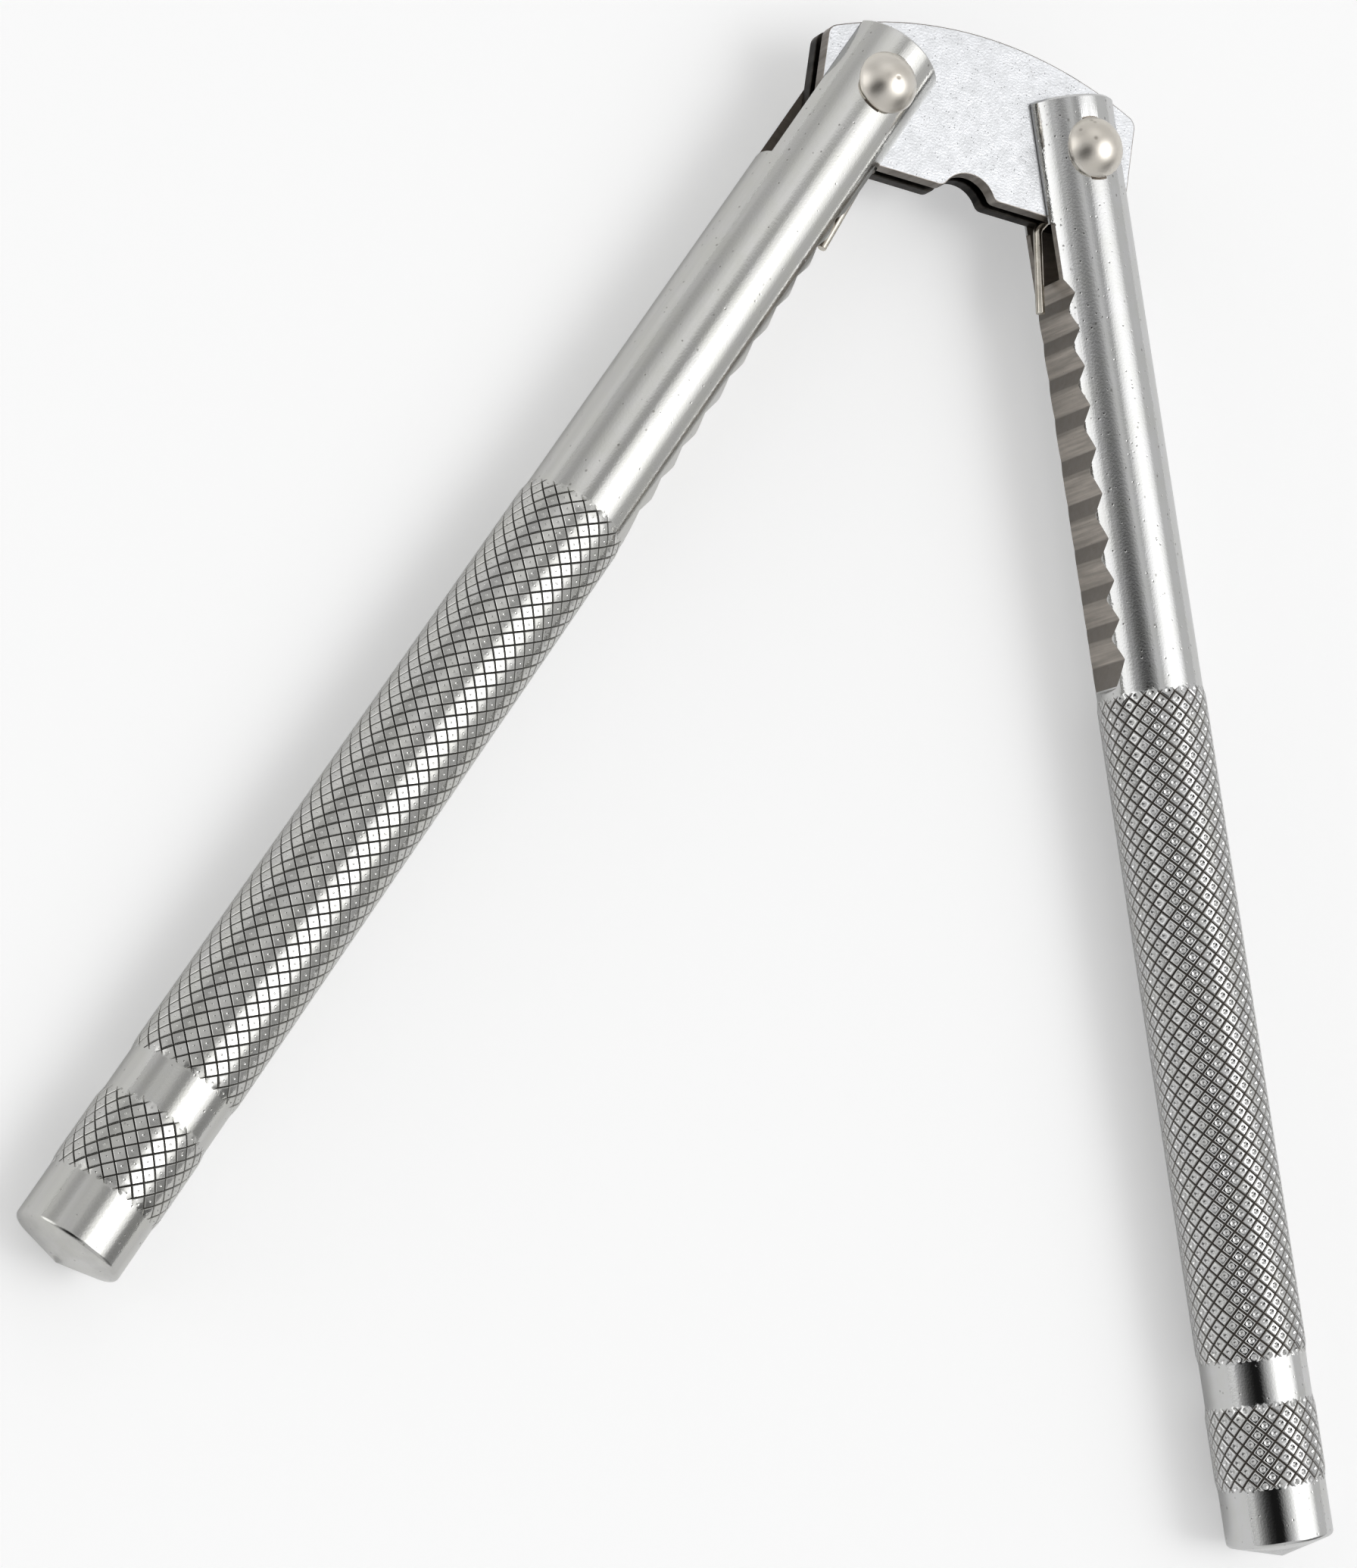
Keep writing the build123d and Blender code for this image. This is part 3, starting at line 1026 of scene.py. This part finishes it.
# %% [markdown]
# ## Return spring
# One wire is bent over both rivets and its legs lean on the jaws. It is made as a wire
# bender makes it: a round section is pushed straight by a length, then turned about a
# pin, again and again. Extruding and spinning the end ring does exactly that. The two
# halves meet between the rivets, because each has to bend about its own pivot when its
# handle moves.

# %% Wire finish


def wire_finish():
    """Bright drawn wire."""
    material, wiring, shader = new_material("bright_wire")
    coords = wiring.space()
    skin = use_group(wiring, peel, Vector=coords, Wave=1800.0, Pit_Cells=1440.0, Pits=0.2)
    cloud = use_group(wiring, mottle, Vector=coords, Size=500.0, Specks=0.1).outputs["Cloud"]
    colour = wiring.mix(cloud, (0.60, 0.56, 0.49, 1), (0.78, 0.74, 0.66, 1))
    pitted = wiring.mix(skin.outputs["Pit"], colour, (0.20, 0.17, 0.14, 1))
    wiring.set(shader, "Base Color", pitted)
    wiring.set(shader, "Roughness", wiring.span(cloud, 0, 1, 0.20, 0.12))
    wiring.set(shader, "Normal", wiring.bump(4e-6, skin.outputs["Height"]))
    return material


# %% Bending the wire
WIRE_R = 0.6
COIL_R = 3.2
LEG_BEND_R = 1.4
LEG_BENDS = {"left": (-13.6, -10.3), "right": (11.95, -10.3)}
LEG_TIPS = {"left": (-17.9, -21.0), "right": (13.9, -21.15)}
WIRE_SIDES = 20
TIP_BREAK = 0.09


class WireBender:
    """Pushes and bends a round wire in the XY plane, starting at a point and heading."""

    def __init__(self, start, heading):
        self.bm = bmesh.new()
        self.at = Vector((*start, 0))
        self.heading = heading
        bmesh.ops.create_circle(self.bm, cap_ends=False, segments=WIRE_SIDES, radius=WIRE_R)
        stand = Matrix.Rotation(pi / 2, 4, "X")
        aim = Matrix.Translation(self.at) @ Matrix.Rotation(heading - pi / 2, 4, "Z") @ stand
        bmesh.ops.transform(self.bm, matrix=aim, verts=self.bm.verts)
        self.ring = self.bm.edges[:]
        bmesh.ops.contextual_create(self.bm, geom=self.ring)

    def direction(self):
        return Vector((cos(self.heading), sin(self.heading), 0))

    def ring_verts(self):
        return list({vert for edge in self.ring for vert in edge.verts})

    def push(self, length, steps=1):
        """Push the wire straight on."""
        for _ in range(steps):
            made = bmesh.ops.extrude_edge_only(self.bm, edges=self.ring)["geom"]
            step = self.direction() * length / steps
            bmesh.ops.translate(self.bm, verts=vertices_in(made), vec=step)
            self.ring = [item for item in made if isinstance(item, bmesh.types.BMEdge)]
        self.at = self.at + self.direction() * length

    def bend(self, angle, radius, steps):
        """Bend round a pin: left for a positive angle, right for a negative one."""
        ahead = self.direction()
        sideways = Vector((-ahead.y, ahead.x, 0))
        pin = self.at + sideways * (radius if angle > 0 else -radius)
        turned_end = bmesh.ops.spin(
            self.bm, geom=self.ring + self.ring_verts(), cent=pin, axis=(0, 0, 1),
            angle=angle, steps=steps, use_duplicate=False,
        )["geom_last"]
        self.ring = [item for item in turned_end if isinstance(item, bmesh.types.BMEdge)]
        self.at = pin + Matrix.Rotation(angle, 3, "Z") @ (self.at - pin)
        self.heading += angle

    def cut(self):
        """Cut the wire off, with a slightly broken edge."""
        self.push(TIP_BREAK)
        shrink = 1 - TIP_BREAK / WIRE_R
        bmesh.ops.scale(
            self.bm, vec=(shrink, shrink, shrink), verts=self.ring_verts(),
            space=Matrix.Translation(-self.at),
        )
        bmesh.ops.contextual_create(self.bm, geom=self.ring)


def leg_path(side):
    """The turns and straight runs of one half, worked out from its bend and tip."""
    bend = Vector(LEG_BENDS[side.name])
    tip = Vector(LEG_TIPS[side.name])
    bend.x *= side.sign
    tip.x *= side.sign
    reach = (HALF_SPACING - bend.x, -bend.y)
    slope = atan2(reach[1], reach[0]) - asin(COIL_R / hypot(*reach))
    wrap = pi - slope
    run = (COIL_R - bend.y) / sin(slope)
    leg = tip - bend
    turn = wrap - atan2(-leg.y, leg.x)
    straight = run - COIL_R * tan(wrap / 2) - LEG_BEND_R * tan(turn / 2)
    last = leg.length - LEG_BEND_R * tan(turn / 2)
    return wrap, straight, turn, last


def spring_half(side):
    """Half the wire: along the bar over the rivet, round it, and down the jaw."""
    wrap, straight, turn, last = leg_path(side)
    bender = WireBender((0, COIL_R), 0.0)
    bender.push(HALF_SPACING, 4)
    bender.bend(-wrap, COIL_R, 48)
    bender.push(straight, 3)
    bender.bend(turn, LEG_BEND_R, 14)
    bender.push(last - TIP_BREAK, 4)
    bender.cut()
    print(side.name, "wire wraps", round(degrees(wrap)), "degrees, ends at", bender.at)
    flip = Matrix.Diagonal((side.sign, 1, 1, 1))
    return mesh_from(bender.bm, f"{side.name}_spring_wire", head_matrix @ flip)


# %% Spring pieces
BLEND_ABOVE = 2.5               # the wire bends between these heights at its rivet
BLEND_BELOW = 3.0
bright_wire = wire_finish()
for side in sides:
    wire = add_object(f"{side.name}_spring_wire", spring_half(side), [bright_wire])
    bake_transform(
        wire, "head", side.body, start=side.pivot + Vector((0, BLEND_ABOVE * MM, 0)),
        end=side.pivot - Vector((0, BLEND_BELOW * MM, 0)),
    )
    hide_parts("return_spring")
    report(wire)

# %% [markdown]
# ## Floor, light and camera
# The tool lies on its back rivet heads and its handle ends on a plain pale floor, so the
# floor is tilted by under a degree to touch both. It glows a little towards the camera
# alone, which keeps it pale without flooding the undersides of the bars. The light is a
# tent: a large soft box up to the right, pale walls, and darker gaps between them. It is
# painted into the world as a few soft round patches of direction.

# %% Floor
FLOOR_SIZE = 3.0
FLOOR_GREY = 0.78
GLOW_REFLECTED = 0.08
GLOW_SEEN = 0.34
end_drop = sides[1].pivot.z - KNURL_R * MM
reach = END_KNURL[1] * MM * cos(sides[1].lean)
floor_tilt = atan2(end_drop, reach)
floor_bm = bmesh.new()
bmesh.ops.create_grid(floor_bm, x_segments=1, y_segments=1, size=FLOOR_SIZE)
under_head = Matrix.Translation((head_centre.x, head_centre.y, 0))
floor_place = under_head @ Matrix.Rotation(-floor_tilt, 4, "X")
floor_material, floor_wiring, floor_shader = new_material("pale_floor", roughness=0.75, metallic=0.0)
seen = floor_wiring.add("ShaderNodeLightPath").outputs["Is Camera Ray"]
glow = floor_wiring.span(seen, 0, 1, GLOW_REFLECTED, GLOW_SEEN)
floor_wiring.set(floor_shader, "Base Color", (FLOOR_GREY, FLOOR_GREY, FLOOR_GREY, 1))
floor_wiring.set(floor_shader, "Emission Color", (1, 1, 1, 1))
floor_wiring.set(floor_shader, "Emission Strength", glow)
floor = add_object("floor", mesh_from(floor_bm, "floor", floor_place), [floor_material])
floor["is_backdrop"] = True
print("floor tilt", round(degrees(floor_tilt), 2), "degrees")

# %% [markdown]
# A patch is a direction, the angles in degrees at which it begins and ends fading, and a
# brightness. Each one is mixed over those before it, so the soft box comes with its
# bright middle after it, and the dark gap beside it last.

# %% Light tent
SURROUND = 0.57
PATCHES = (
    ((-0.10, 0.70, 0.70), 4, 24, 0.83),     # wall beyond the head
    ((0.00, 0.35, 0.95), 3, 15, 0.35),      # gap between that wall and the soft box
    ((-0.65, 0.65, 0.35), 3, 14, 0.40),     # seam between the walls
    ((-1.00, 0.05, 0.15), 6, 27, 1.40),     # lit wall on the left
    ((0.85, -0.50, 0.25), 5, 31, 0.15),     # open side on the lower right
    ((-0.60, -0.50, 0.65), 5, 30, 0.02),    # camera and its stand
    ((0.55, 0.00, 0.85), 12, 33, 1.60),     # soft box
    ((0.52, -0.02, 0.85), 5, 18, 4.50),     # its lamp
    ((-0.42, -0.28, 0.85), 8, 26, 0.01),    # hole in the tent for the lens
)


def build_world(patches, base):
    """A surround whose brightness is a base plus soft round patches."""
    world = bpy.data.worlds.new("light_tent")
    bpy.context.scene.world = world
    world.use_nodes = True
    wiring = Wiring(world.node_tree)
    facing = wiring.add("ShaderNodeTexCoord").outputs["Generated"]
    level = base
    for direction, inner, outer, brightness in patches:
        closeness = wiring.add(
            "ShaderNodeVectorMath", {"operation": "DOT_PRODUCT"}, in0=facing,
            in1=Vector(direction).normalized(),
        ).outputs["Value"]
        share = wiring.span(closeness, cos(radians(outer)), cos(radians(inner)))
        mixed = wiring.add(
            "ShaderNodeMix", {"data_type": "FLOAT"}, in0=share, in2=level, in3=brightness,
        )
        level = mixed.outputs[0]
    grey = wiring.add("ShaderNodeCombineColor", None, Red=level, Green=level, Blue=level)
    background = world.node_tree.nodes["Background"]
    wiring.set(background, "Color", grey.outputs["Color"])
    wiring.set(background, "Strength", 1.0)


build_world(PATCHES, SURROUND)
print("light patches", len(PATCHES))

# %% Camera
CAMERA_FROM = Vector((-230.3, -200.8, 468.5)) * MM
CAMERA_AIM = Vector((-26.9, -92.2, 0)) * MM
CAMERA_ROLL = radians(-8.1)
LENS = 99.1
SENSOR = 36.0
camera_data = bpy.data.cameras.new("bench_camera")
camera_data.lens = LENS
camera_data.sensor_width = SENSOR
camera = bpy.data.objects.new("bench_camera", camera_data)
bpy.context.scene.collection.objects.link(camera)
looking = (CAMERA_AIM - CAMERA_FROM).normalized()
upward = (Vector((0, 1, 0)) - looking * looking.y).normalized()
axes = Matrix((looking.cross(upward), upward, -looking)).transposed().to_4x4()
camera.matrix_world = (
    Matrix.Translation(head_centre + CAMERA_FROM) @ Matrix.Rotation(CAMERA_ROLL, 4, looking) @ axes
)
bpy.context.scene.camera = camera
bpy.context.scene.view_settings.view_transform = "Standard"
print("camera", round((CAMERA_AIM - CAMERA_FROM).length, 3), "m from its aim")

# %% Measure and finish
visual_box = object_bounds()
for low_high in zip(("low", "high"), cad_box, visual_box):
    print(low_high[0], [round((new - old) / MM, 3) for old, new in zip(*low_high[1:])], "mm off")
